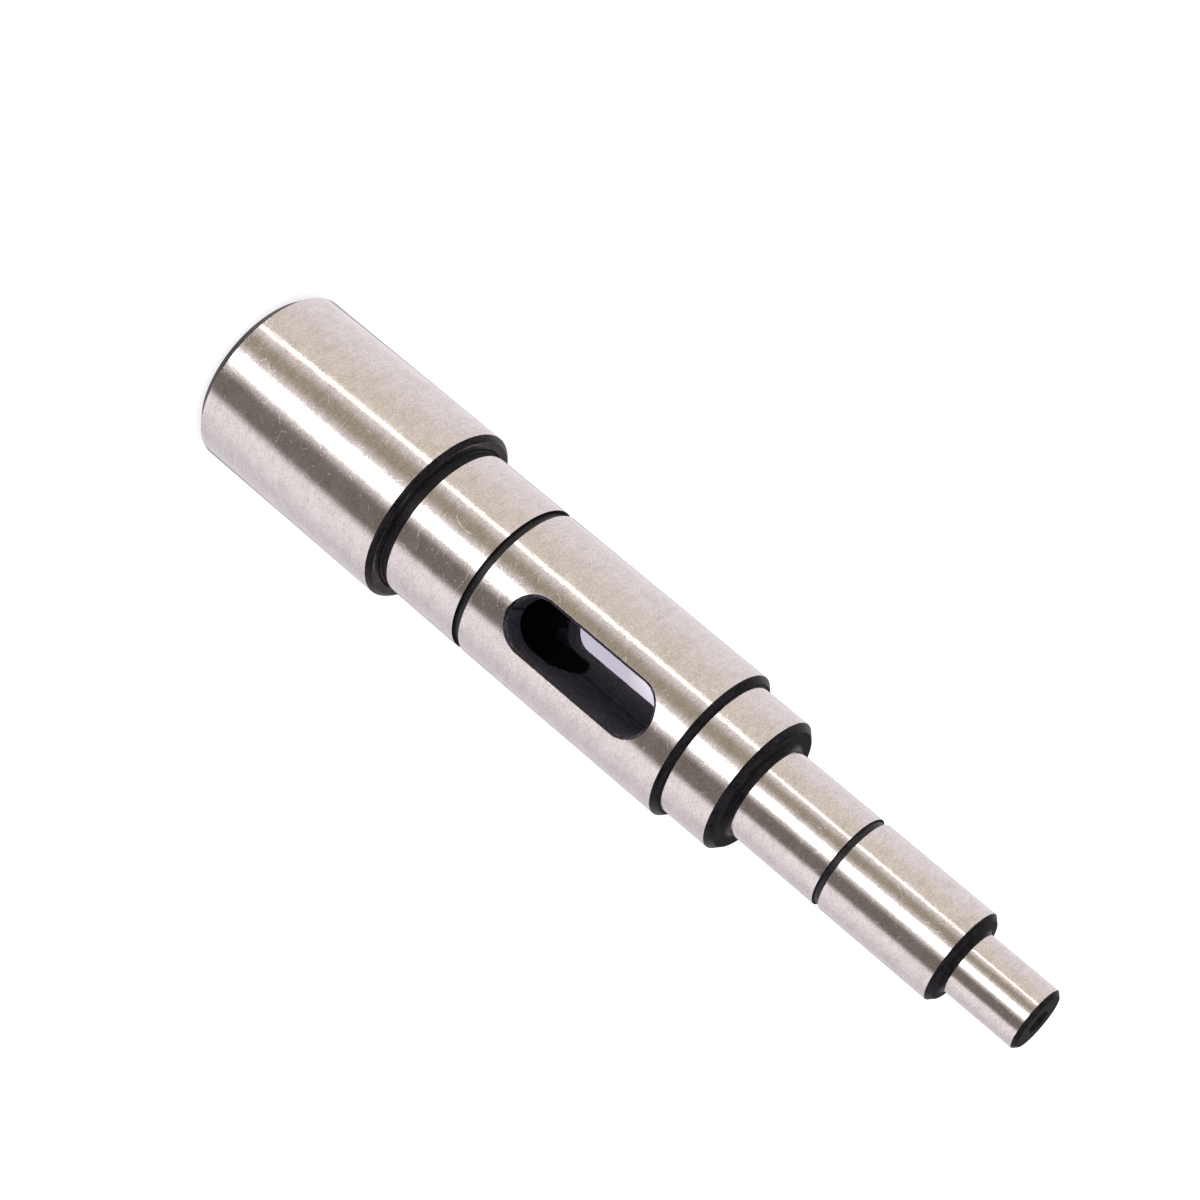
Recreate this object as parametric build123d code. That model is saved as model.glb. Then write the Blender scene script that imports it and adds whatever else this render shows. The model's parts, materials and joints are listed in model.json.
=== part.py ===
"""Stepped shaft: one bar turned down in steps, with ground seats, a blind socket and a cross slot.

Millimetres. The shaft stands on its big end: the origin is the centre of that end face, the axis
is +Z, and the slot goes right through along Y. Heights are measured from the big end face.
"""

from build123d import *
from dataclasses import dataclass
import math
import os

# Head: the thick end, with the bearing shoulder at its top
HEAD_DIAMETER = 29.4
HEAD_LENGTH = 37.7
HEAD_END_CHAMFER = 1.6
HEAD_SHOULDER_CHAMFER = 0.8

# Seat of a 6205 ball bearing, 25 mm bore and 15 mm wide, which a retaining ring holds to the shoulder
BEARING_SEAT_DIAMETER = 25.0
BEARING_WIDTH = 15.0

# Relief groove at the foot of the bearing seat, cut a little into the shoulder face as well
RELIEF_WIDTH = 1.5
RELIEF_DEPTH = 0.4
RELIEF_RIM = 0.2
RELIEF_FACE_CUT = 0.15
RELIEF_FILLET = 0.35

# Journal above the first ring, just small enough for the bearing to slide over it
JOURNAL_CLEARANCE = 0.05
JOURNAL_CHAMFER = 0.9

# Slot through the journal: a full width pass from the front, then a narrower one from the back
SLOT_LENGTH = 26.5
SLOT_WIDTH = 8.5
SLOT_SETBACK = 6.2
SLOT_RUNOUT = 6.1
SLOT_PASS_STEP = 0.06
SLOT_RIM_BREAK = 0.5

# Socket: blind hole up the middle from the big end, which breaks into the slot
SOCKET_DIAMETER = 16.0
SOCKET_REACH = 7.2
SOCKET_MOUTH_CHAMFER = 1.0

# Collar between the journal and the hub seat
COLLAR_DIAMETER = 22.3
COLLAR_LENGTH = 9.2
COLLAR_CHAMFER = 1.0
COLLAR_FOOT_FILLET = 0.2

# Hub seat, with its own retaining ring, and the plain seat of the same diameter beyond the ring
HUB_SEAT_DIAMETER = 15.0
HUB_WIDTH = 16.0
HUB_FOOT_FILLET = 1.0
END_SEAT_LENGTH = 20.1
END_SEAT_CHAMFER = 0.8

# Spigot: the thin end, with a centre hole in its face
SPIGOT_DIAMETER = 10.0
SPIGOT_LENGTH = 12.9
SPIGOT_CHAMFER = 0.6
SPIGOT_FOOT_FILLET = 0.8
CENTRE_MOUTH_DIAMETER = 4.25
CENTRE_PILOT_DIAMETER = 2.0
CENTRE_PILOT_DEPTH = 4.6

# Tool angles
CENTRE_ANGLE = 60.0
DRILL_POINT_ANGLE = 118.0

# Axial play of each retaining ring between its groove's far wall and what it holds
RING_PLAY = 0.1

# Points closer than this are one point
TOUCH = 0.001


@dataclass(frozen=True)
class Step:
    """One turned length of the shaft: the fillet at its foot, its flank and the chamfer at its end."""

    diameter: float
    length: float
    chamfer: float = 0.0
    foot_fillet: float = 0.0

    def edges(self, start):
        """The step's own edges in the half-section, from this height up."""
        radius = self.diameter / 2
        end = start + self.length
        fillet_end = start + self.foot_fillet
        chamfer_start = end - self.chamfer
        flank = [Line((radius, fillet_end), (radius, chamfer_start))]
        if self.foot_fillet:
            centre = (radius + self.foot_fillet, fillet_end)
            flank.insert(0, CenterArc(centre, self.foot_fillet, 270, -90))
        if self.chamfer:
            flank.append(Line((radius, chamfer_start), (radius - self.chamfer, end)))
        return flank


@dataclass(frozen=True)
class RetainingRing:
    """An external retaining ring to DIN 471, and the groove that it needs."""

    thickness: float
    groove_width: float
    groove_depth: float

    def seat_length(self, held_width):
        """Length of seat from the shoulder to the groove, for a part of this width."""
        return held_width + self.thickness + RING_PLAY - self.groove_width

    def groove(self, seat_diameter):
        """The groove as a step turned in a seat of this diameter."""
        return Step(seat_diameter - 2 * self.groove_depth, self.groove_width)


BEARING_RING = RetainingRing(thickness=1.2, groove_width=1.3, groove_depth=0.55)
HUB_RING = RetainingRing(thickness=1.0, groove_width=1.1, groove_depth=0.35)

# Lengths and places that follow from the sizes above
BEARING_SEAT_LENGTH = BEARING_RING.seat_length(BEARING_WIDTH)
HUB_SEAT_LENGTH = HUB_RING.seat_length(HUB_WIDTH)
JOURNAL_DIAMETER = BEARING_SEAT_DIAMETER - JOURNAL_CLEARANCE
JOURNAL_LENGTH = SLOT_SETBACK + SLOT_LENGTH + SLOT_RUNOUT
SLOT_START = HEAD_LENGTH + BEARING_SEAT_LENGTH + BEARING_RING.groove_width + SLOT_SETBACK
SLOT_MIDDLE = SLOT_START + SLOT_LENGTH / 2
SOCKET_DEPTH = SLOT_START + SOCKET_REACH

STEPS = [
    Step(HEAD_DIAMETER, HEAD_LENGTH, HEAD_SHOULDER_CHAMFER),
    Step(BEARING_SEAT_DIAMETER, BEARING_SEAT_LENGTH),
    BEARING_RING.groove(BEARING_SEAT_DIAMETER),
    Step(JOURNAL_DIAMETER, JOURNAL_LENGTH, JOURNAL_CHAMFER),
    Step(COLLAR_DIAMETER, COLLAR_LENGTH, COLLAR_CHAMFER, COLLAR_FOOT_FILLET),
    Step(HUB_SEAT_DIAMETER, HUB_SEAT_LENGTH, foot_fillet=HUB_FOOT_FILLET),
    HUB_RING.groove(HUB_SEAT_DIAMETER),
    Step(HUB_SEAT_DIAMETER, END_SEAT_LENGTH, END_SEAT_CHAMFER),
    Step(SPIGOT_DIAMETER, SPIGOT_LENGTH, SPIGOT_CHAMFER, SPIGOT_FOOT_FILLET),
]
TOTAL_LENGTH = sum(step.length for step in STEPS)


def turned(outline):
    """Turn a closed outline, drawn as (radius, height), about the shaft's axis."""
    return revolve(make_face(Plane.XZ * outline), Axis.Z)


def turned_polygon(*points):
    """Turn a polygon of (radius, height) points about the shaft's axis."""
    return turned(Polyline(*points, close=True))


def blank():
    """The shaft as it leaves the lathe: the steps stacked from the big end up, in one outline."""
    edges = [Line((0, 0), (HEAD_DIAMETER / 2, 0))]
    height = 0
    for step in STEPS:
        own_edges = step.edges(height)
        shoulder = (edges[-1] @ 1, own_edges[0] @ 0)
        if (shoulder[0] - shoulder[1]).length > TOUCH:
            edges.append(Line(*shoulder))
        edges += own_edges
        height += step.length
    edges.append(Line(edges[-1] @ 1, (0, TOTAL_LENGTH)))
    edges.append(Line((0, TOTAL_LENGTH), (0, 0)))
    return turned(Curve() + edges)


def end_chamfer():
    """The ring cut away for the chamfer round the big end."""
    radius = HEAD_DIAMETER / 2
    corner = (radius, 0)
    return turned_polygon((radius - HEAD_END_CHAMFER, 0), corner, (radius, HEAD_END_CHAMFER))


def relief_groove():
    """The groove at the foot of the bearing seat, which frees the corner for the bearing's edge."""
    seat_radius = BEARING_SEAT_DIAMETER / 2
    floor = seat_radius - RELIEF_DEPTH
    low = HEAD_LENGTH - RELIEF_FACE_CUT
    radial = RELIEF_DEPTH + RELIEF_RIM
    axial = RELIEF_FACE_CUT + RELIEF_WIDTH
    section = Pos(floor, low) * Rectangle(radial, axial, align=(Align.MIN, Align.MIN))
    floor_corners = section.vertices().group_by(Axis.X)[0]
    return revolve(Plane.XZ * fillet(floor_corners, RELIEF_FILLET), Axis.Z)


def drilled_hole(diameter, depth):
    """A blind hole going up from the origin: its wall to this depth, then the drill's point."""
    radius = diameter / 2
    point = radius / math.tan(math.radians(DRILL_POINT_ANGLE / 2))
    return turned_polygon((0, 0), (radius, 0), (radius, depth), (0, depth + point))


def mouth_cone(mouth_diameter, cone_angle):
    """A cone that opens a hole's mouth at the origin to this diameter."""
    radius = mouth_diameter / 2
    depth = radius / math.tan(math.radians(cone_angle / 2))
    return turned_polygon((0, 0), (radius, 0), (0, depth))


def socket():
    """The blind socket in the big end, with its chamfered mouth."""
    mouth = SOCKET_DIAMETER + 2 * SOCKET_MOUTH_CHAMFER
    return drilled_hole(SOCKET_DIAMETER, SOCKET_DEPTH) + mouth_cone(mouth, 90)


def centre_hole():
    """The centre hole in the spigot's face, going down from the small end."""
    pilot = drilled_hole(CENTRE_PILOT_DIAMETER, CENTRE_PILOT_DEPTH)
    hole = pilot + mouth_cone(CENTRE_MOUTH_DIAMETER, CENTRE_ANGLE)
    return Pos(0, 0, TOTAL_LENGTH) * Rot(X=180) * hole


def slot_pass(step, reach):
    """One milling pass from the axis outwards, this much smaller than the slot on every side."""
    plan = SlotOverall(SLOT_LENGTH - 2 * step, SLOT_WIDTH - 2 * step, rotation=90)
    return Pos(0, 0, SLOT_MIDDLE) * extrude(Plane.XZ * plan, reach)


def break_slot_rim(shaft):
    """Chamfer the slot's rim where it comes out of the journal, front and back."""
    radius = JOURNAL_DIAMETER / 2

    def on_rim(edge):
        points = [edge @ share for share in (0, 0.5, 1)]
        on_surface = all(abs(math.hypot(point.X, point.Y) - radius) < TOUCH for point in points)
        beside_slot = all(abs(point.X) < SLOT_WIDTH for point in points)
        return on_surface and beside_slot and abs(edge.center().Z - SLOT_MIDDLE) < SLOT_LENGTH / 2

    return chamfer(shaft.edges().filter_by(on_rim), SLOT_RIM_BREAK)


def stepped_shaft():
    """The whole shaft as one solid."""
    shaft = blank() - end_chamfer() - relief_groove() - centre_hole()
    shaft -= slot_pass(0, BEARING_SEAT_DIAMETER)
    shaft -= slot_pass(SLOT_PASS_STEP, -BEARING_SEAT_DIAMETER)
    shaft = break_slot_rim(shaft)
    return shaft - socket()


def main():
    """Write the shaft as one solid."""
    os.makedirs("parts", exist_ok=True)
    shaft = stepped_shaft()
    shaft.label = "stepped_shaft"
    export_step(shaft, "parts/stepped_shaft.step")


if __name__ == "__main__":
    main()
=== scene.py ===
"""The looks of a stepped shaft: ground seats, black oxide in between, a cross slot and a socket.

Lengths are metres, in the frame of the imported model: the shaft stands on its big end, its axis is
+Z and the slot goes through along Y. Diameters and places come from the frame's box and mounts.
"""

import json
import logging
import math
from contextlib import contextmanager
from dataclasses import dataclass, field
from enum import Enum
from typing import Any, Callable, Iterator

import bpy
from mathutils import Matrix, Vector


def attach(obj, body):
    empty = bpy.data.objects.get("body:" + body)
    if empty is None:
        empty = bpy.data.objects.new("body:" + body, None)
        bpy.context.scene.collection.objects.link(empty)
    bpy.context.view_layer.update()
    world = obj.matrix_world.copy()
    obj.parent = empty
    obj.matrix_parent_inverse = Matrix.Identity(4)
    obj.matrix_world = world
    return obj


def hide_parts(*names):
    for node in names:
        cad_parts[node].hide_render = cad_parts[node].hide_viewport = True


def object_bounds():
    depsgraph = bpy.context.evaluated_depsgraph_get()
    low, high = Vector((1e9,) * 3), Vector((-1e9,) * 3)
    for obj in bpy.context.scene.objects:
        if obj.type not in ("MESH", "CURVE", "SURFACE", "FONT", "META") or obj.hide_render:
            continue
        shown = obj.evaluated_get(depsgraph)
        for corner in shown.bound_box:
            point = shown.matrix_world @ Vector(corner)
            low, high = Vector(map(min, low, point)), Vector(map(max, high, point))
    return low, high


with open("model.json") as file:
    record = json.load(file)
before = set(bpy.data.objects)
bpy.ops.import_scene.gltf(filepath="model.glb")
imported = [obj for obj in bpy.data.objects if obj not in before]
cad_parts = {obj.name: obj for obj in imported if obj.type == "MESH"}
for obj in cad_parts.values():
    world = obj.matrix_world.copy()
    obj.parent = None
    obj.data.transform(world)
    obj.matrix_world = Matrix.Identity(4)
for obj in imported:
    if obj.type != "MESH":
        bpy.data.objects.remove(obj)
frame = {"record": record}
CAD_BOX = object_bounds()

MM = 0.001
TOUCH = 0.002 * MM
Colour = tuple[float, float, float]
Span = tuple[float, float]
LOG = logging.getLogger("stepped_shaft")


# ---------------------------------------------------------------------------------------------
# Shader graphs
# ---------------------------------------------------------------------------------------------


class Signal:
    """A socket that takes part in Python expressions: each operator adds its Math node."""

    def __init__(self, graph: "Graph", socket: bpy.types.NodeSocket) -> None:
        """Wrap one output socket.

        Args:
            graph: The graph that the socket belongs to.
            socket: The output socket.
        """
        self.graph = graph
        self.socket = socket

    def _math(self, operation: str, *operands: "Signal | float") -> "Signal":
        """Add a Math node on these operands and return what it gives."""
        inputs = dict(enumerate(operands))
        return self.graph.node("ShaderNodeMath", {"operation": operation}, inputs)

    def __add__(self, other: "Signal | float") -> "Signal":
        """Sum."""
        return self._math("ADD", self, other)

    def __radd__(self, other: float) -> "Signal":
        """Sum, with the number first."""
        return self._math("ADD", other, self)

    def __sub__(self, other: "Signal | float") -> "Signal":
        """Difference."""
        return self._math("SUBTRACT", self, other)

    def __rsub__(self, other: float) -> "Signal":
        """Difference, with the number first."""
        return self._math("SUBTRACT", other, self)

    def __mul__(self, other: "Signal | float") -> "Signal":
        """Product."""
        return self._math("MULTIPLY", self, other)

    def __rmul__(self, other: float) -> "Signal":
        """Product, with the number first."""
        return self._math("MULTIPLY", other, self)

    def __truediv__(self, other: "Signal | float") -> "Signal":
        """Quotient."""
        return self._math("DIVIDE", self, other)

    def __abs__(self) -> "Signal":
        """The size without the sign."""
        return self._math("ABSOLUTE", self)

    def root(self) -> "Signal":
        """Square root."""
        return self._math("SQRT", self)

    def angle_from(self, other: "Signal") -> "Signal":
        """Angle of the point whose height is this and whose reach is the other, in radians."""
        return self._math("ARCTAN2", self, other)

    def at_least(self, other: "Signal | float") -> "Signal":
        """The larger of the two."""
        return self._math("MAXIMUM", self, other)

    def at_most(self, other: "Signal | float") -> "Signal":
        """The smaller of the two."""
        return self._math("MINIMUM", self, other)

    def ramp(self, start: float, end: float) -> "Signal":
        """Smooth step from 0 at start to 1 at end, or down if end is the smaller.

        Args:
            start: Where the step begins.
            end: Where the step is complete.

        Returns:
            A value from 0 to 1.
        """
        low, high = min(start, end), max(start, end)
        targets = (0.0, 1.0) if start < end else (1.0, 0.0)
        inputs = dict(enumerate((self, low, high, *targets)))
        settings = {"interpolation_type": "SMOOTHSTEP"}
        return self.graph.node("ShaderNodeMapRange", settings, inputs)

    def between(self, start: float, end: float, edge: float) -> "Signal":
        """1 from start to end, with soft edges of this width centred on both."""
        half = edge / 2
        return self.ramp(start - half, start + half) * self.ramp(end + half, end - half)


class Graph:
    """The node tree of one material or of the world."""

    def __init__(self, owner: bpy.types.ID, output_type: str) -> None:
        """Empty the owner's tree and give it one output node.

        Args:
            owner: The material or the world.
            output_type: Type name of the output node.
        """
        owner.use_nodes = True
        self.tree = owner.node_tree
        self.tree.nodes.clear()
        self.output = self.tree.nodes.new(output_type)

    def node(
        self,
        kind: str,
        settings: dict[str, Any] | None = None,
        inputs: dict[str | int, Any] | None = None,
        output: str | int = 0,
    ) -> Signal:
        """Add a node of any type.

        Args:
            kind: The node's type name.
            settings: The node's own settings, set before its sockets.
            inputs: A value or a Signal for each named or numbered input.
            output: Name or number of the output that is wanted.

        Returns:
            The wanted output.
        """
        node = self.tree.nodes.new(kind)
        for name, value in (settings or {}).items():
            setattr(node, name, value)
        for key, value in (inputs or {}).items():
            if isinstance(value, Signal):
                self.tree.links.new(value.socket, node.inputs[key])
            else:
                node.inputs[key].default_value = value
        return Signal(self, node.outputs[output])

    def finish(self, surface: Signal) -> None:
        """Join this shader to the tree's output."""
        self.tree.links.new(surface.socket, self.output.inputs[0])

    def mixed(self, share: Signal | float, first: Any, second: Any) -> Signal:
        """Mix two colours.

        Args:
            share: How much of the second, from 0 to 1.
            first: A colour or a Signal.
            second: A colour or a Signal.

        Returns:
            The mixed colour.
        """
        inputs = {0: share, 6: as_colour(first), 7: as_colour(second)}
        return self.node("ShaderNodeMix", {"data_type": "RGBA"}, inputs, 2)

    def scaled(self, colour: Any, factor: Signal | float) -> Signal:
        """A colour made brighter or darker by a factor."""
        inputs = {0: colour, 3: factor}
        return self.node("ShaderNodeVectorMath", {"operation": "SCALE"}, inputs)

    def vector(self, x: Signal | float, y: Signal | float, z: Signal | float) -> Signal:
        """A vector from its three parts."""
        return self.node("ShaderNodeCombineXYZ", None, {0: x, 1: y, 2: z})

    def parts(self, vector: Signal) -> list[Signal]:
        """The three parts of a vector."""
        first = self.node("ShaderNodeSeparateXYZ", None, {0: vector})
        return [Signal(self, output) for output in first.socket.node.outputs]

    def noise(self, vector: Signal, scale: float, detail: float = 2.0, rough: float = 0.5) -> Signal:
        """Smooth noise about 0.5.

        Args:
            vector: Where it is read.
            scale: Features per unit of the vector.
            detail: Octaves beyond the first.
            rough: How strong each octave is against the last.

        Returns:
            The noise, mostly from 0.2 to 0.8.
        """
        inputs = {"Vector": vector, "Scale": scale, "Detail": detail, "Roughness": rough}
        return self.node("ShaderNodeTexNoise", None, inputs)

    def bumped(self, height: Signal) -> Signal:
        """The normal of a surface that stands this high, in metres."""
        inputs = {"Strength": 1.0, "Distance": 1.0, "Height": height}
        return self.node("ShaderNodeBump", None, inputs)


def as_colour(value: Any) -> Any:
    """Give a bare colour its alpha, and leave a Signal as it is."""
    return value if isinstance(value, Signal) else (*value[:3], 1.0)


# ---------------------------------------------------------------------------------------------
# Sizes taken from the frame
# ---------------------------------------------------------------------------------------------


def mount_named(name: str) -> dict[str, Any]:
    """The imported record's mount of this name."""
    return next(mount for mount in frame["record"]["mounts"] if mount["name"] == name)


def height_of(name: str) -> float:
    """Height of a mount, in metres."""
    return mount_named(name)["pos_m"][2]


@dataclass(frozen=True)
class Seat:
    """One round length of the shaft between its chamfer and its foot."""

    radius: float
    start: float
    end: float

    @classmethod
    def from_mount(cls, name: str) -> "Seat":
        """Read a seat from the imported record.

        Args:
            name: Name of a mount with a radius and a length. A bore's place is its mouth, and
                any other's is its middle.

        Returns:
            The seat in metres.
        """
        mount = mount_named(name)
        length = mount["dims"]["length_mm"] * MM
        start = mount["pos_m"][2] - (0 if mount["kind"] == "bore" else length / 2)
        return cls(mount["dims"]["r_mm"] * MM, start, start + length)


@dataclass(frozen=True)
class Corner:
    """One corner of the turned outline, and how far its rounding reaches along both sides."""

    radius: float
    height: float
    rounding: float = 0.0
    segments: int = 2


# ---------------------------------------------------------------------------------------------
# Mesh tools
# ---------------------------------------------------------------------------------------------


@contextmanager
def editing(piece: bpy.types.Object) -> Iterator[None]:
    """Work on one piece in edit mode with nothing selected."""
    make_active(piece)
    bpy.ops.object.mode_set(mode="EDIT")
    bpy.ops.mesh.select_all(action="DESELECT")
    yield
    bpy.ops.object.mode_set(mode="OBJECT")


def make_active(piece: bpy.types.Object) -> None:
    """Select this piece alone."""
    bpy.ops.object.select_all(action="DESELECT")
    piece.select_set(True)
    bpy.context.view_layer.objects.active = piece


def pick_vertices(piece: bpy.types.Object, wanted: Callable[[Vector], bool]) -> None:
    """Select exactly the vertices whose place is wanted, in edit mode.

    Args:
        piece: The piece that is being edited.
        wanted: Test of a vertex's place.
    """
    bpy.ops.object.mode_set(mode="OBJECT")
    for polygon in piece.data.polygons:
        polygon.select = False
    for edge in piece.data.edges:
        edge.select = False
    for vertex in piece.data.vertices:
        vertex.select = wanted(vertex.co)
    bpy.ops.object.mode_set(mode="EDIT")


def places_at(piece: bpy.types.Object, place: float) -> list[int]:
    """Numbers of the vertices that lie this far along Y."""
    return [vertex.index for vertex in piece.data.vertices if abs(vertex.co.y - place) < TOUCH]


def apply_modifiers(piece: bpy.types.Object) -> None:
    """Apply every modifier of a piece, from the top down."""
    make_active(piece)
    for modifier in list(piece.modifiers):
        bpy.ops.object.modifier_apply(modifier=modifier.name)


def remove(piece: bpy.types.Object) -> None:
    """Delete a helper that has done its work."""
    bpy.data.objects.remove(piece, do_unlink=True)


# ---------------------------------------------------------------------------------------------
# The shaft's shape
# ---------------------------------------------------------------------------------------------


@dataclass(frozen=True)
class Socket:
    """The blind hole up the middle from the big end."""

    wall: Seat = field(default_factory=lambda: Seat.from_mount("socket"))
    mouth_chamfer: float = 1.0 * MM
    point_angle: float = math.radians(118)
    edge_round: float = 0.05 * MM

    def corners(self) -> list[Corner]:
        """The socket's half outline, from its drill point down to its mouth."""
        radius = self.wall.radius
        depth = self.wall.end - self.wall.start + self.mouth_chamfer
        point = radius / math.tan(self.point_angle / 2)
        return [
            Corner(0.0, depth + point),
            Corner(radius, depth, self.edge_round),
            Corner(radius, self.mouth_chamfer, self.edge_round),
            Corner(radius + self.mouth_chamfer, 0.0, self.edge_round),
        ]


@dataclass(frozen=True)
class CentreHole:
    """The centre hole in the small end's face."""

    mouth_radius: float = 2.125 * MM
    pilot_radius: float = 1.0 * MM
    pilot_depth: float = 4.6 * MM
    mouth_angle: float = math.radians(60)
    point_angle: float = math.radians(118)
    edge_round: float = 0.05 * MM

    def corners(self, top: float) -> list[Corner]:
        """The hole's half outline, from its rim down to its drill point."""
        cone = (self.mouth_radius - self.pilot_radius) / math.tan(self.mouth_angle / 2)
        point = self.pilot_radius / math.tan(self.point_angle / 2)
        floor = top - self.pilot_depth
        return [
            Corner(self.mouth_radius, top, self.edge_round),
            Corner(self.pilot_radius, top - cone, self.edge_round),
            Corner(self.pilot_radius, floor, self.edge_round),
            Corner(0.0, floor - point),
        ]


class Facing(Enum):
    """Which way along the axis a turned face looks."""

    UP = "up"
    DOWN = "down"


@dataclass(frozen=True)
class TurningMarks:
    """The fine rings that the tool's tip leaves across a faced end."""

    pitch: float = 0.22 * MM
    depth: float = 0.012 * MM

    def corners(self, inner: float, outer: float, height: float, facing: Facing) -> list[Corner]:
        """Low points of the rings across a face that looks along the axis.

        Args:
            inner: Inner radius of the face.
            outer: Outer radius of the face.
            height: Height of the face.
            facing: Which way it looks. The outline runs outwards over a face that looks down.

        Returns:
            The corners in the outline's order, each sunk into the metal or level with the face.
        """
        count = 2 * round((outer - inner) / self.pitch / 2)
        sink = self.depth if facing is Facing.DOWN else -self.depth
        rings = [
            Corner(inner + (outer - inner) * ring / count, height + (sink if ring % 2 else 0.0))
            for ring in range(1, count)
        ]
        return rings if facing is Facing.DOWN else rings[::-1]


@dataclass(frozen=True)
class CrossSlot:
    """The slot that goes right through the journal, milled from the front and from the back."""

    length: float = mount_named("cross_slot")["dims"]["slot_length_mm"] * MM
    width: float = mount_named("cross_slot")["dims"]["hole_r_mm"] * 2 * MM
    middle: float = height_of("cross_slot")
    pass_step: float = 0.06 * MM
    rim_break: float = 0.5 * MM
    rim_raggedness: float = 0.05 * MM
    step_lean: float = 0.02 * MM
    arc_points: int = 94
    wall_points: int = 90
    overshoot: float = 0.6
    outside_share: float = 1.3
    flare_share: float = 0.5
    wall_share: float = 0.3
    gauge_segments: int = 512
    seed: int = 7

    @property
    def reach(self) -> float:
        """From the slot's middle to the centre of either round end."""
        return (self.length - self.width) / 2

    def cutter(self, journal_radius: float) -> bpy.types.Object:
        """Make the body that both milling passes and the rim's chamfer take away.

        Args:
            journal_radius: Radius of the round surface that the slot comes out of.

        Returns:
            A closed piece, wider outside the journal than in it.
        """
        bpy.ops.object.select_all(action="DESELECT")
        bpy.ops.mesh.primitive_circle_add(
            vertices=self.arc_points,
            radius=self.width / 2,
            fill_type="NGON",
            location=(0, 0, self.middle),
            rotation=(math.pi / 2, 0, 0),
        )
        cutter = bpy.context.active_object
        cutter.name = "slot_cutter"
        bpy.ops.object.transform_apply(location=True, rotation=True, scale=True)
        rings = self._rings(journal_radius)
        with editing(cutter):
            self._stretch(cutter)
            bpy.ops.transform.translate(value=(0, rings[0].place, 0))
            self._grow(cutter, rings[0].place, 0.0, rings[0].growth)
            for last, ring in zip(rings, rings[1:]):
                pick_vertices(cutter, lambda co: abs(co.y - last.place) < TOUCH)
                step = (0, ring.place - last.place, 0)
                bpy.ops.mesh.extrude_region_move(TRANSFORM_OT_translate={"value": step})
                self._grow(cutter, ring.place, last.growth, ring.growth)
        for number, ring in enumerate(rings):
            if ring.surface_shift is not None:
                group = cutter.vertex_groups.new(name=f"ring_{number}")
                group.add(places_at(cutter, ring.place), 1.0, "REPLACE")
        for number, ring in enumerate(rings):
            if ring.surface_shift is not None:
                self._lay_on_journal(cutter, f"ring_{number}", ring, journal_radius)
        self._roughen_rim(cutter)
        return cutter

    def _rings(self, journal_radius: float) -> list["CutterRing"]:
        """The cutter's rings in order, from outside the back of the journal to outside its front."""
        outside = journal_radius * self.outside_share
        flared = journal_radius * self.flare_share
        wall = journal_radius * self.wall_share
        flare = self.rim_break * (1 + self.overshoot)
        past = self.rim_break * self.overshoot
        back, front = -self.pass_step, 0.0
        return [
            CutterRing(outside, back + flare),
            CutterRing(flared, back + flare, past),
            CutterRing(wall, back, -self.rim_break),
            CutterRing(self.step_lean, back),
            CutterRing(0.0, front),
            CutterRing(-wall, front, self.rim_break),
            CutterRing(-flared, front + flare, -past),
            CutterRing(-outside, front + flare),
        ]

    def _stretch(self, cutter: bpy.types.Object) -> None:
        """Pull the circle's halves apart, and divide the straight sides between them."""
        for sign in (1, -1):
            pick_vertices(cutter, lambda co: (co.z - self.middle) * sign > 0)
            bpy.ops.transform.translate(value=(0, 0, sign * self.reach))
        side = self.width / 2 * math.cos(math.pi / self.arc_points)
        for sign in (1, -1):
            pick_vertices(cutter, lambda co: abs(co.x - sign * side) < TOUCH)
            bpy.ops.mesh.subdivide(number_cuts=self.wall_points)
        bpy.ops.mesh.select_all(action="SELECT")

    def _grow(self, cutter: bpy.types.Object, place: float, old: float, new: float) -> None:
        """Widen or narrow the ring at this place all round.

        Args:
            cutter: The piece that is being edited.
            place: The ring's place along Y.
            old: How much wider than the slot the ring is on each side.
            new: How much wider it becomes.
        """
        if old == new:
            return
        factor = (self.width / 2 + new) / (self.width / 2 + old)
        round_end, side = (factor, 1, factor), (factor, 1, 1)
        for sign, scale in ((1, round_end), (-1, round_end), (0, side)):

            def wanted(co: Vector) -> bool:
                """Whether a vertex is in this part of the ring."""
                height = co.z - self.middle
                past_end = height * sign > self.reach - TOUCH
                between = abs(height) < self.reach - TOUCH
                return abs(co.y - place) < TOUCH and (past_end if sign else between)

            pick_vertices(cutter, wanted)
            centre = (0, place, self.middle + sign * self.reach)
            bpy.ops.transform.resize(value=scale, center_override=centre)

    def _lay_on_journal(
        self, cutter: bpy.types.Object, group: str, ring: "CutterRing", radius: float
    ) -> None:
        """Move one ring along Y on to the journal's round surface, or level with it.

        Args:
            cutter: The cutter.
            group: The ring's vertex group.
            ring: The ring.
            radius: The journal's radius.
        """
        bpy.ops.object.select_all(action="DESELECT")
        bpy.ops.mesh.primitive_cylinder_add(
            vertices=self.gauge_segments,
            radius=radius,
            depth=self.length * 2,
            location=(0, ring.surface_shift, self.middle),
        )
        gauge = bpy.context.active_object
        bpy.ops.object.transform_apply(location=True, rotation=True, scale=True)
        wrap = cutter.modifiers.new(group, "SHRINKWRAP")
        wrap.target = gauge
        wrap.wrap_method = "PROJECT"
        wrap.use_project_y = True
        wrap.use_positive_direction = ring.place > 0
        wrap.use_negative_direction = ring.place < 0
        wrap.vertex_group = group
        apply_modifiers(cutter)
        remove(gauge)

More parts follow.
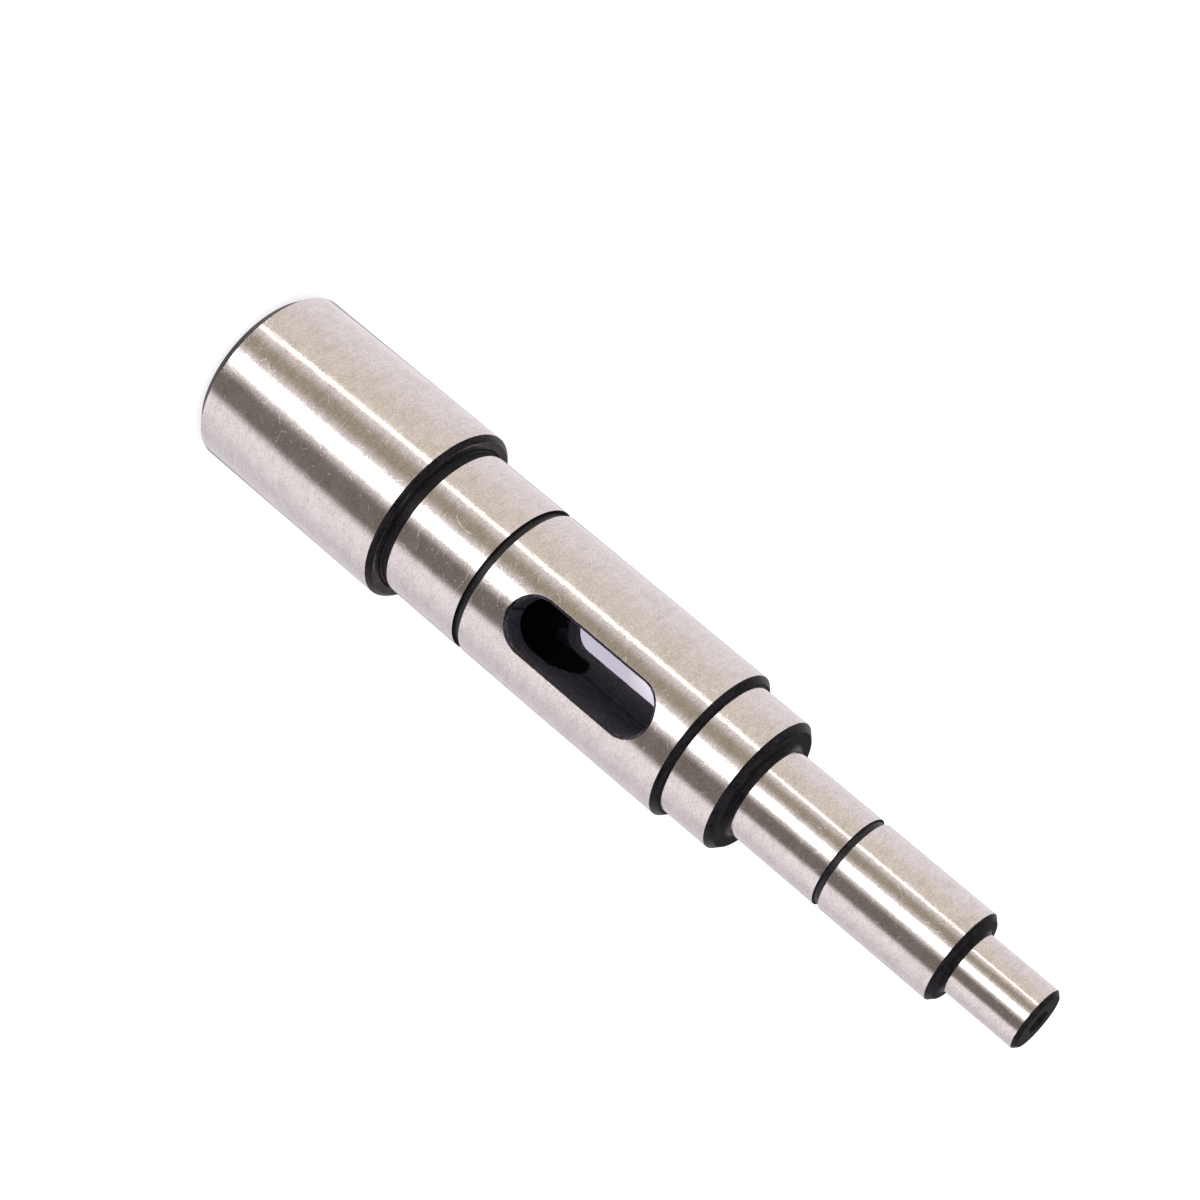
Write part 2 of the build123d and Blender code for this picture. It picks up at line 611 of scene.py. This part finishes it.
    def _roughen_rim(self, cutter: bpy.types.Object) -> None:
        """Give both edges of the rim's chamfer the small unevenness of a hand-broken edge."""
        with editing(cutter):
            for group in cutter.vertex_groups:
                cutter.vertex_groups.active = group
                bpy.ops.object.vertex_group_select()
            bpy.ops.transform.vertex_random(offset=self.rim_raggedness, seed=self.seed)
            bpy.ops.mesh.select_all(action="SELECT")
            bpy.ops.mesh.normals_make_consistent(inside=False)


@dataclass(frozen=True)
class CutterRing:
    """One ring of the slot's cutter."""

    place: float
    growth: float
    surface_shift: float | None = None


@dataclass
class ShaftBody:
    """The shaft itself: its turned outline, spun, with the slot cut through it."""

    head_radius: float = CAD_BOX[1].x
    top: float = CAD_BOX[1].z
    head_end_chamfer: float = 1.6 * MM
    head_chamfer: float = 0.8 * MM
    edge_break: float = 0.04 * MM
    relief_depth: float = 0.4 * MM
    relief_rim: float = 0.2 * MM
    relief_face_cut: float = 0.15 * MM
    relief_fillet: float = 0.35 * MM
    journal_chamfer: float = 0.9 * MM
    collar_chamfer: float = 1.0 * MM
    collar_fillet: float = 0.2 * MM
    bearing_groove_depth: float = 0.55 * MM
    hub_groove_depth: float = 0.35 * MM
    hub_fillet: float = 1.0 * MM
    end_chamfer: float = 0.8 * MM
    spigot_chamfer: float = 0.6 * MM
    spigot_fillet: float = 0.8 * MM
    segments: int = 256
    smooth_angle: float = math.radians(20)
    shoulder: float = height_of("bearing_shoulder")
    hub_shoulder: float = height_of("hub_shoulder")
    bearing_seat: Seat = field(default_factory=lambda: Seat.from_mount("bearing_seat"))
    journal: Seat = field(default_factory=lambda: Seat.from_mount("sleeve_journal"))
    collar: Seat = field(default_factory=lambda: Seat.from_mount("collar_seat"))
    hub_seat: Seat = field(default_factory=lambda: Seat.from_mount("hub_seat"))
    end_seat: Seat = field(default_factory=lambda: Seat.from_mount("end_seat"))
    spigot: Seat = field(default_factory=lambda: Seat.from_mount("spigot"))
    socket: Socket = field(default_factory=Socket)
    centre_hole: CentreHole = field(default_factory=CentreHole)
    slot: CrossSlot = field(default_factory=CrossSlot)
    marks: TurningMarks = field(default_factory=TurningMarks)

    def outline(self) -> list[Corner]:
        """The whole half outline, from the socket's drill point round to the centre hole's."""
        edge, bearing, journal = self.edge_break, self.bearing_seat, self.journal
        collar, hub, end, spigot = self.collar, self.hub_seat, self.end_seat, self.spigot
        head, shoulder, hub_face = self.head_radius, self.shoulder, self.hub_shoulder
        relief = bearing.radius - self.relief_depth
        relief_rim = bearing.radius + self.relief_rim
        relief_low = shoulder - self.relief_face_cut
        journal_end = journal.end + self.journal_chamfer
        ring_floor = bearing.radius - self.bearing_groove_depth
        hub_ring_floor = hub.radius - self.hub_groove_depth
        end_face = end.end + self.end_chamfer
        foot_inner = self.socket.wall.radius + self.socket.mouth_chamfer
        foot_outer = head - self.head_end_chamfer
        return [
            *self.socket.corners(),
            *self.marks.corners(foot_inner, foot_outer, 0.0, Facing.DOWN),
            Corner(foot_outer, 0.0, edge),
            Corner(head, self.head_end_chamfer, edge),
            Corner(head, shoulder - self.head_chamfer, edge),
            Corner(head - self.head_chamfer, shoulder, edge),
            Corner(relief_rim, shoulder, edge),
            Corner(relief_rim, relief_low, edge),
            Corner(relief, relief_low, self.relief_fillet, 6),
            Corner(relief, bearing.start, self.relief_fillet, 6),
            Corner(bearing.radius, bearing.start, edge),
            Corner(bearing.radius, bearing.end, edge),
            Corner(ring_floor, bearing.end, edge),
            Corner(ring_floor, journal.start, edge),
            Corner(journal.radius, journal.start, edge),
            Corner(journal.radius, journal.end, edge),
            Corner(journal.radius - self.journal_chamfer, journal_end, edge),
            Corner(collar.radius, journal_end, self.collar_fillet, 4),
            Corner(collar.radius, collar.end, edge),
            Corner(collar.radius - self.collar_chamfer, hub_face, edge),
            *self.marks.corners(
                hub.radius + self.hub_fillet,
                collar.radius - self.collar_chamfer,
                hub_face,
                Facing.UP,
            ),
            Corner(hub.radius, hub_face, self.hub_fillet, 10),
            Corner(hub.radius, hub.end, edge),
            Corner(hub_ring_floor, hub.end, edge),
            Corner(hub_ring_floor, end.start, edge),
            Corner(end.radius, end.start, edge),
            Corner(end.radius, end.end, edge),
            Corner(end.radius - self.end_chamfer, end_face, edge),
            Corner(spigot.radius, end_face, self.spigot_fillet, 8),
            Corner(spigot.radius, spigot.end, edge),
            Corner(spigot.radius - self.spigot_chamfer, self.top, edge),
            *self.marks.corners(
                self.centre_hole.mouth_radius,
                spigot.radius - self.spigot_chamfer,
                self.top,
                Facing.UP,
            ),
            *self.centre_hole.corners(self.top),
        ]

    def build(self) -> bpy.types.Object:
        """Turn the outline, cut the slot and smooth what is round.

        Returns:
            The finished piece.
        """
        body = self._turned()
        cutter = self.slot.cutter(self.journal.radius)
        cut = body.modifiers.new("slot", "BOOLEAN")
        cut.operation = "DIFFERENCE"
        cut.solver = "EXACT"
        cut.object = cutter
        apply_modifiers(body)
        remove(cutter)
        with editing(body):
            bpy.ops.mesh.select_all(action="SELECT")
            bpy.ops.mesh.remove_doubles(threshold=TOUCH / 4)
        make_active(body)
        bpy.ops.object.shade_smooth_by_angle(angle=self.smooth_angle)
        return body

    def _turned(self) -> bpy.types.Object:
        """Draw the outline corner by corner, round its corners and spin it about the axis."""
        corners = self.outline()
        bpy.ops.object.select_all(action="DESELECT")
        bpy.ops.mesh.primitive_plane_add(size=MM)
        body = bpy.context.active_object
        body.name = "shaft_body"
        first = corners[0]
        with editing(body):
            bpy.ops.mesh.select_all(action="SELECT")
            bpy.ops.mesh.merge(type="CENTER")
            bpy.ops.transform.translate(value=(first.radius, 0, first.height))
            for last, corner in zip(corners, corners[1:]):
                step = (corner.radius - last.radius, 0, corner.height - last.height)
                bpy.ops.mesh.extrude_vertices_move(TRANSFORM_OT_translate={"value": step})
            for rounding, count in sorted({(c.rounding, c.segments) for c in corners}):
                if rounding:
                    self._round(body, corners, rounding, count)
            bpy.ops.mesh.select_all(action="SELECT")
            bpy.ops.mesh.spin(
                steps=self.segments, angle=math.tau, center=(0, 0, 0), axis=(0, 0, 1)
            )
            bpy.ops.mesh.select_all(action="SELECT")
            bpy.ops.mesh.remove_doubles(threshold=TOUCH / 4)
            bpy.ops.mesh.normals_make_consistent(inside=False)
        return body

    @staticmethod
    def _round(
        body: bpy.types.Object, corners: list[Corner], rounding: float, segments: int
    ) -> None:
        """Round all the outline's corners that share one rounding.

        Args:
            body: The piece that is being edited.
            corners: The whole outline.
            rounding: How far the rounding reaches along both sides of a corner.
            segments: Number of edges in the rounding.
        """
        alike = [
            Vector((c.radius, 0, c.height))
            for c in corners
            if c.rounding == rounding and c.segments == segments
        ]
        pick_vertices(body, lambda co: any((co - place).length < TOUCH for place in alike))
        bpy.ops.mesh.bevel(
            affect="VERTICES", offset=rounding, segments=segments, clamp_overlap=False
        )


# ---------------------------------------------------------------------------------------------
# Finishes
# ---------------------------------------------------------------------------------------------


@dataclass(frozen=True)
class SurfacePlace:
    """Where a point of the shaft lies, in the ways that its finishes need."""

    point: Signal
    x: Signal
    y: Signal
    z: Signal
    radius: Signal

    @classmethod
    def of(cls, graph: Graph) -> "SurfacePlace":
        """Read the place from Object coordinates."""
        point = graph.node("ShaderNodeTexCoord", output="Object")
        x, y, z = graph.parts(point)
        return cls(point, x, y, z, (x * x + y * y).root().at_least(TOUCH))

    def streaked(self, graph: Graph, turns: float, pitch: float, lean: float = 0.0) -> Signal:
        """Coordinates whose noise runs round the shaft in long streaks.

        Args:
            graph: The material's graph.
            turns: Features per radian round the shaft.
            pitch: Width of a streak along the shaft.
            lean: How much the streaks also step outwards, for faces that look along the axis.

        Returns:
            The vector for a noise of scale 1.
        """
        step = (self.z + self.radius * lean) / pitch
        return graph.vector(self.x / self.radius * turns, self.y / self.radius * turns, step)

    def flattened(self, graph: Graph, width: float, height: float) -> Signal:
        """Coordinates whose noise is this wide round the shaft and this high along it."""
        return graph.vector(self.x / width, self.y / width, self.z / height)


@dataclass(frozen=True)
class GroundSteel:
    """Bare steel off the grinding wheel: fine lines round the shaft, small pits and scratches."""

    bright: Colour = (0.76, 0.71, 0.69)
    dull: Colour = (0.50, 0.46, 0.425)
    rust: Colour = (0.42, 0.30, 0.20)
    smudge: Colour = (0.26, 0.24, 0.23)
    roughness: float = 0.12
    line_pitch: float = 0.085 * MM
    speck_width: float = 0.42 * MM
    speck_height: float = 0.17 * MM
    pit_spacing: float = 0.7 * MM
    pit_depth: float = 14e-3 * MM
    scratch_run: float = 7.0 * MM
    hub_edge: float = 115.7 * MM

    def shader(self, graph: Graph, place: SurfacePlace) -> Signal:
        """Make the shader.

        Args:
            graph: The material's graph.
            place: Where the point lies.

        Returns:
            The shader.
        """
        lines = graph.noise(place.streaked(graph, 9.0, self.line_pitch), 1.0, 2.0, 0.6) - 0.5
        waves = graph.noise(place.streaked(graph, 2.5, self.line_pitch * 9), 1.0, 1.0) - 0.5
        flat = place.flattened(graph, self.speck_width, self.speck_height)
        specks = graph.noise(flat, 1.0, 2.0, 0.6) - 0.5
        blotches = graph.noise(place.point, 1 / (2.2 * MM), 3.0, 0.6) - 0.5
        patches = graph.noise(place.point, 1 / (11 * MM), 2.0) - 0.5
        scratches = self._scratches(graph, place)
        grit = graph.noise(place.point, 1 / (0.22 * MM), 1.0) - 0.5
        rubbed = place.z.between(self.hub_edge - 0.06 * MM, self.hub_edge + 0.06 * MM, 0.04 * MM)
        tone = lines * 1.3 + specks * 1.5 + grit * 1.3 + blotches * 0.8 + waves * 0.5 + 0.58
        tone = tone + rubbed * 0.25 + scratches * 0.3
        colour = graph.mixed(tone.at_least(0.0).at_most(1.0), self.dull, self.bright)
        tinted = blotches.ramp(0.08, 0.26) * patches.ramp(0.0, 0.15) * 0.4
        colour = graph.mixed(tinted, colour, self.rust)
        colour = graph.mixed(self._smudges(graph, place), colour, self.smudge)
        height = (
            lines * (0.5e-3 * MM)
            + specks * (8e-3 * MM)
            + grit * (3e-3 * MM)
            + blotches * (9e-3 * MM)
            + waves * (1.2e-3 * MM)
            - self._pits(graph, place) * self.pit_depth
            - scratches * (5e-3 * MM)
        )
        rough = self.roughness + lines * 0.1 + blotches * 0.1 + scratches * 0.1
        inputs = {
            "Base Color": colour,
            "Metallic": 1.0,
            "Roughness": rough.at_least(0.04),
            "Normal": graph.bumped(height),
        }
        return graph.node("ShaderNodeBsdfPrincipled", None, inputs)

    def _pits(self, graph: Graph, place: SurfacePlace) -> Signal:
        """Small dents, as a mask from 0 to 1."""
        inputs = {"Vector": place.point, "Scale": 1 / self.pit_spacing}
        distance = graph.node("ShaderNodeTexVoronoi", None, inputs, "Distance")
        chance = graph.parts(graph.node("ShaderNodeTexVoronoi", None, inputs, "Color"))[0]
        size = chance.ramp(0.5, 1.0) * 0.15
        return ((size - distance) / 0.04).at_least(0.0).at_most(1.0)

    def _smudges(self, graph: Graph, place: SurfacePlace) -> Signal:
        """Dark marks here and there, as a mask from 0 to 1."""
        spots = graph.noise(place.flattened(graph, 0.5 * MM, 0.35 * MM), 1.0, 2.0, 0.6)
        where = graph.noise(place.point, 1 / (5 * MM), 1.0)
        return spots.ramp(0.68, 0.78) * where.ramp(0.5, 0.62) * 0.75

    def _scratches(self, graph: Graph, place: SurfacePlace) -> Signal:
        """Thin stray lines that cross the grain, as a mask from 0 to 1."""
        found: Signal | float = 0.0
        for slant, seed in ((0.35, 3.1), (-0.6, 8.7), (0.08, 5.3)):
            leaning = graph.vector(
                place.x / self.scratch_run + seed,
                (place.y + place.z * slant) / self.scratch_run,
                (place.z - place.y * slant) / (self.scratch_run * 0.6),
            )
            line = abs(graph.noise(leaning, 1.0, 0.0) - 0.5).ramp(0.0035, 0.0)
            broken = graph.noise(leaning, 2.7, 1.0).ramp(0.52, 0.60)
            found = line * broken + found
        return found


@dataclass(frozen=True)
class BlackOxide:
    """The satin black skin that is left where the grinding wheel didn't reach."""

    deep: Colour = (0.0020, 0.0020, 0.0032)
    worn: Colour = (0.050, 0.046, 0.050)
    milled: Colour = (0.125, 0.115, 0.135)
    roughness: float = 0.40
    turned_pitch: float = 0.14 * MM
    fleck: Colour = (0.20, 0.18, 0.17)
    # Width of the dark line painted along the step between the two milling passes: painted shade in
    # that crease.
    step_shade_width: float = 0.16 * MM

    def shader(self, graph: Graph, place: SurfacePlace, slot: CrossSlot) -> Signal:
        """Make the shader.

        Args:
            graph: The material's graph.
            place: Where the point lies.
            slot: The slot, whose walls carry milling marks instead of turning marks.

        Returns:
            The shader.
        """
        turned = graph.noise(place.streaked(graph, 4.0, self.turned_pitch, 0.8), 1.0, 1.0) - 0.5
        passes = graph.vector(place.x / MM, place.y / (0.22 * MM), place.z / (2.6 * MM))
        milled = graph.noise(passes, 1.0, 3.0, 0.6) - 0.5
        half_length, half_width = slot.length / 2, slot.width / 2
        in_slot = place.z.between(slot.middle - half_length, slot.middle + half_length, TOUCH)
        in_slot = in_slot * abs(place.x).ramp(half_width + 0.1 * MM, half_width)
        # Painted shade: a dark line along the step where the two milling passes meet in the middle of
        # the slot.
        step_shade = abs(place.y).ramp(self.step_shade_width / 2, self.step_shade_width / 4) * in_slot
        lines = turned * (1 - in_slot) + milled * in_slot * 2.0
        mottle = graph.noise(place.point, 1 / (0.45 * MM), 3.0, 0.65) - 0.5
        flecks = graph.noise(place.point, 1 / (0.9 * MM), 4.0, 0.7).ramp(0.60, 0.72)
        # Real wear and mottle, lighter in the milled slot, less the painted shade along the step
        # between the passes.
        wear_and_step_shade = mottle * 1.2 + lines * 0.9 + in_slot * 0.25 + 0.25 - step_shade
        specks = graph.noise(place.point, 1 / (0.3 * MM), 2.0, 0.6).ramp(0.70, 0.78)
        height = mottle * (5e-3 * MM) + lines * (2.5e-3 * MM) + flecks * (3e-3 * MM)
        share = wear_and_step_shade.at_least(0.0).at_most(1.0)
        normal = graph.bumped(height)
        rough = mottle * 0.2 + self.roughness
        colour = graph.mixed(specks, graph.mixed(share, self.deep, self.worn), self.fleck)
        satin = {"Base Color": colour, "Roughness": rough, "Specular IOR Level": 0.28, "Normal": normal}
        colour = graph.mixed(share, self.deep, self.milled)
        matt = {"Base Color": colour, "Roughness": 0.8, "Specular IOR Level": 0.02, "Normal": normal}
        outside = graph.node("ShaderNodeBsdfPrincipled", None, satin)
        inside = graph.node("ShaderNodeBsdfPrincipled", None, matt)
        return graph.node("ShaderNodeMixShader", None, {0: in_slot, 1: outside, 2: inside})


@dataclass(frozen=True)
class ShaftFinish:
    """The shaft's whole surface: ground steel on its seats, and black oxide everywhere else."""

    steel: GroundSteel = field(default_factory=GroundSteel)
    oxide: BlackOxide = field(default_factory=BlackOxide)
    edge_wander: float = 0.05 * MM
    grinding_depth: float = 0.03 * MM
    edge: float = 0.02 * MM
    fillet_blend: float = 0.1

    def material(self, body: ShaftBody) -> bpy.types.Material:
        """Make the material.

        Args:
            body: The shaft, for the places of its seats.

        Returns:
            The material.
        """
        material = bpy.data.materials.new("ground_and_blackened_steel")
        graph = Graph(material, "ShaderNodeOutputMaterial")
        place = SurfacePlace.of(graph)
        bare = self.bare_places(graph, body, place)
        steel = self.steel.shader(graph, place)
        oxide = self.oxide.shader(graph, place, body.slot)
        graph.finish(graph.node("ShaderNodeMixShader", None, {0: bare, 1: oxide, 2: steel}))
        return material

    def bare_places(self, graph: Graph, body: ShaftBody, place: SurfacePlace) -> Signal:
        """Where the wheel has ground the oxide away, as a mask from 0 to 1.

        Args:
            graph: The material's graph.
            body: The shaft, for the places of its seats.
            place: Where the point lies.

        Returns:
            The mask.
        """
        ragged = graph.noise(place.point, 1 / (0.4 * MM), 3.0, 0.6) - 0.5
        along = place.z + ragged * (4 * self.edge_wander)
        outwards = place.radius + ragged * (self.grinding_depth / 2)
        near = 3 * self.edge_wander
        bare = along.between(body.shoulder - near, body.shoulder + near, self.edge)
        bare = bare * place.radius.between(
            body.bearing_seat.radius + body.relief_rim, body.head_radius - body.head_chamfer, self.edge
        )
        hub_start = body.hub_seat.start - body.hub_fillet * self.fillet_blend
        spigot_start = body.spigot.start - body.spigot_fillet * self.fillet_blend
        head = Seat(body.head_radius, body.head_end_chamfer, body.shoulder - body.head_chamfer)
        seats = (
            head,
            body.bearing_seat,
            body.journal,
            body.collar,
            Seat(body.hub_seat.radius, hub_start, body.hub_seat.end),
            body.end_seat,
            Seat(body.spigot.radius, spigot_start, body.spigot.end),
        )
        for seat in seats:
            floor = seat.radius - self.grinding_depth
            reached = outwards.ramp(floor - self.grinding_depth, floor)
            bare = bare.at_least(along.between(seat.start, seat.end, self.edge) * reached)
        return bare


# ---------------------------------------------------------------------------------------------
# Studio
# ---------------------------------------------------------------------------------------------


@dataclass(frozen=True)
class Panel:
    """An upright light or dark panel, by its azimuth from the front in degrees."""

    start: float
    end: float
    colour: Colour
    start_edge: float = 4.0
    end_edge: float = 4.0

    def mask(self, azimuth: Signal) -> Signal:
        """How much of the panel is seen at an azimuth, from 0 to 1."""
        rise = azimuth.ramp(self.start - self.start_edge / 2, self.start + self.start_edge / 2)
        fall = azimuth.ramp(self.end + self.end_edge / 2, self.end - self.end_edge / 2)
        return rise * fall


@dataclass(frozen=True)
class Studio:
    """Camera, pale floor, soft white light, and the panels and gaps that the steel mirrors."""

    look_at_height: float = 65.08 * MM
    camera_distance: float = 418.2 * MM
    camera_rise: float = 160.02 * MM
    camera_azimuth: float = math.radians(-16.2)
    view_azimuth: float = math.radians(-15.3988)
    view_elevation: float = math.radians(20.94)
    view_roll: float = math.radians(129.8091)
    lens: float = 93.34
    sensor_width: float = 36.0
    clip: Span = (0.01, 50.0)
    floor_radius: float = 6.0
    floor_drop: float = 0.01 * MM
    floor_segments: int = 128
    floor_roughness: float = 0.8
    fibre_size: float = 2 * MM
    fibre_shades: tuple[Colour, Colour] = ((0.86, 0.85, 0.87), (0.90, 0.89, 0.91))
    matt_light: Colour = (0.66, 0.62, 0.73)
    left_paper: Colour = (1.03, 0.985, 1.03)
    right_paper: Colour = (1.15, 1.11, 1.16)
    paper_change: Span = (-12.0, 12.0)
    upward_share: float = 0.22
    upward_rise: Span = (0.05, 0.35)
    key_colour: Colour = (1.0, 0.99, 0.96)
    key_strength: float = 6.4
    key_softness: float = math.radians(2.4)
    key_elevation: float = math.radians(25.6)
    key_offset: float = math.radians(-1.4)
    panels: tuple[Panel, ...] = (
        Panel(-86.0, -36.0, (0.93, 0.86, 0.79), 50.0, 4.0),
        Panel(105.0, 172.0, (0.85, 0.81, 0.87), 50.0, 12.0),
        Panel(-30.0, -6.0, (0.47, 0.42, 0.34), 18.0, 16.0),
        Panel(27.0, 66.0, (0.245, 0.22, 0.20), 18.0, 14.0),
        Panel(164.0, 190.0, (0.36, 0.34, 0.35), 12.0),
        Panel(-190.0, -164.0, (0.36, 0.34, 0.35), end_edge=12.0),
        Panel(-42.8, -39.2, (3.4, 3.3, 3.1), 2.0, 2.0),
        Panel(2.0, 20.5, (3.2, 3.1, 2.9), 4.0, 5.0),
    )

    @property
    def towards_camera(self) -> Vector:
        """Level direction from the axis to the camera."""
        return Vector((math.sin(self.camera_azimuth), -math.cos(self.camera_azimuth), 0))

    def camera(self) -> bpy.types.Object:
        """Place the camera, rolled so that the shaft lies across the picture."""
        data = bpy.data.cameras.new("camera")
        data.lens, data.sensor_width = self.lens, self.sensor_width
        data.clip_start, data.clip_end = self.clip
        camera = bpy.data.objects.new("camera", data)
        turn = (
            Matrix.Rotation(self.view_azimuth, 4, "Z")
            @ Matrix.Rotation(math.pi / 2 - self.view_elevation, 4, "X")
            @ Matrix.Rotation(self.view_roll, 4, "Z")
        )
        place = self.towards_camera * self.camera_distance
        place.z = self.look_at_height + self.camera_rise
        camera.matrix_world = Matrix.Translation(place) @ turn
        bpy.context.scene.collection.objects.link(camera)
        bpy.context.scene.camera = camera
        return camera

    def floor(self) -> bpy.types.Object:
        """Lay the pale floor just under the shaft."""
        bpy.ops.object.select_all(action="DESELECT")
        bpy.ops.mesh.primitive_circle_add(
            vertices=self.floor_segments,
            radius=self.floor_radius,
            fill_type="NGON",
            location=(0, 0, -self.floor_drop),
        )
        floor = bpy.context.active_object
        floor.name = "floor"
        floor.visible_glossy = False
        material = bpy.data.materials.new("white_paper")
        graph = Graph(material, "ShaderNodeOutputMaterial")
        place = graph.node("ShaderNodeTexCoord", output="Object")
        fibres = graph.noise(place, 1 / self.fibre_size, detail=3.0)
        colour = graph.mixed(fibres, *self.fibre_shades)
        inputs = {"Base Color": colour, "Roughness": self.floor_roughness}
        graph.finish(graph.node("ShaderNodeBsdfPrincipled", None, inputs))
        floor.data.materials.append(material)
        return floor

    def surroundings(self) -> bpy.types.World:
        """Light the room: plain white for what is matt, upright panels for what is polished."""
        world = bpy.data.worlds.new("studio")
        bpy.context.scene.world = world
        graph = Graph(world, "ShaderNodeOutputWorld")
        direction = graph.node("ShaderNodeTexCoord", output="Generated")
        x, y, z = graph.parts(direction)
        front = self.towards_camera
        side = Vector((-front.y, front.x, 0))
        ahead = x * front.x + y * front.y
        aside = x * side.x + y * side.y
        azimuth = aside.angle_from(ahead) * math.degrees(1)
        colour = graph.mixed(azimuth.ramp(*self.paper_change), self.left_paper, self.right_paper)
        for panel in self.panels:
            colour = graph.mixed(panel.mask(azimuth), colour, panel.colour)
        dimmed = graph.scaled(colour, self.upward_share)
        colour = graph.mixed(z.ramp(*self.upward_rise), colour, dimmed)
        polished = graph.node("ShaderNodeLightPath", output="Is Glossy Ray")
        colour = graph.mixed(polished, self.matt_light, colour)
        graph.finish(graph.node("ShaderNodeBackground", None, {0: colour, 1: 1.0}))
        world.cycles.sampling_method = "NONE"
        return world

    def key_light(self, floor: bpy.types.Object) -> bpy.types.Object:
        """Set the distant key light, which comes from just beside the camera.

        Args:
            floor: The only piece that it lights. The shaft still throws its shadow there.

        Returns:
            The light.
        """
        data = bpy.data.lights.new("key", "SUN")
        data.energy, data.angle = self.key_strength, self.key_softness
        data.color = self.key_colour
        light = bpy.data.objects.new("key", data)
        azimuth = self.camera_azimuth + self.key_offset
        level, rise = math.cos(self.key_elevation), math.sin(self.key_elevation)
        towards = Vector((math.sin(azimuth) * level, -math.cos(azimuth) * level, rise))
        light.matrix_world = towards.to_track_quat("Z", "Y").to_matrix().to_4x4()
        light.visible_glossy = False
        lit = bpy.data.collections.new("lit_by_key")
        lit.objects.link(floor)
        light.light_linking.receiver_collection = lit
        bpy.context.scene.collection.objects.link(light)
        return light

    def build(self) -> None:
        """Make all of it."""
        self.camera()
        floor = self.floor()
        self.surroundings()
        self.key_light(floor)
        bpy.context.scene.view_settings.view_transform = "Standard"


# ---------------------------------------------------------------------------------------------


def main() -> None:
    """Build the shaft and its studio."""
    logging.basicConfig(level=logging.INFO, format="%(name)s: %(message)s")
    shaft = ShaftBody()
    piece = shaft.build()
    piece.data.materials.clear()
    piece.data.materials.append(ShaftFinish().material(shaft))
    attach(piece, "root")
    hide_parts("stepped_shaft")
    LOG.info("%s: %d faces", piece.name, len(piece.data.polygons))
    Studio().build()


if __name__ == "__main__":
    main()
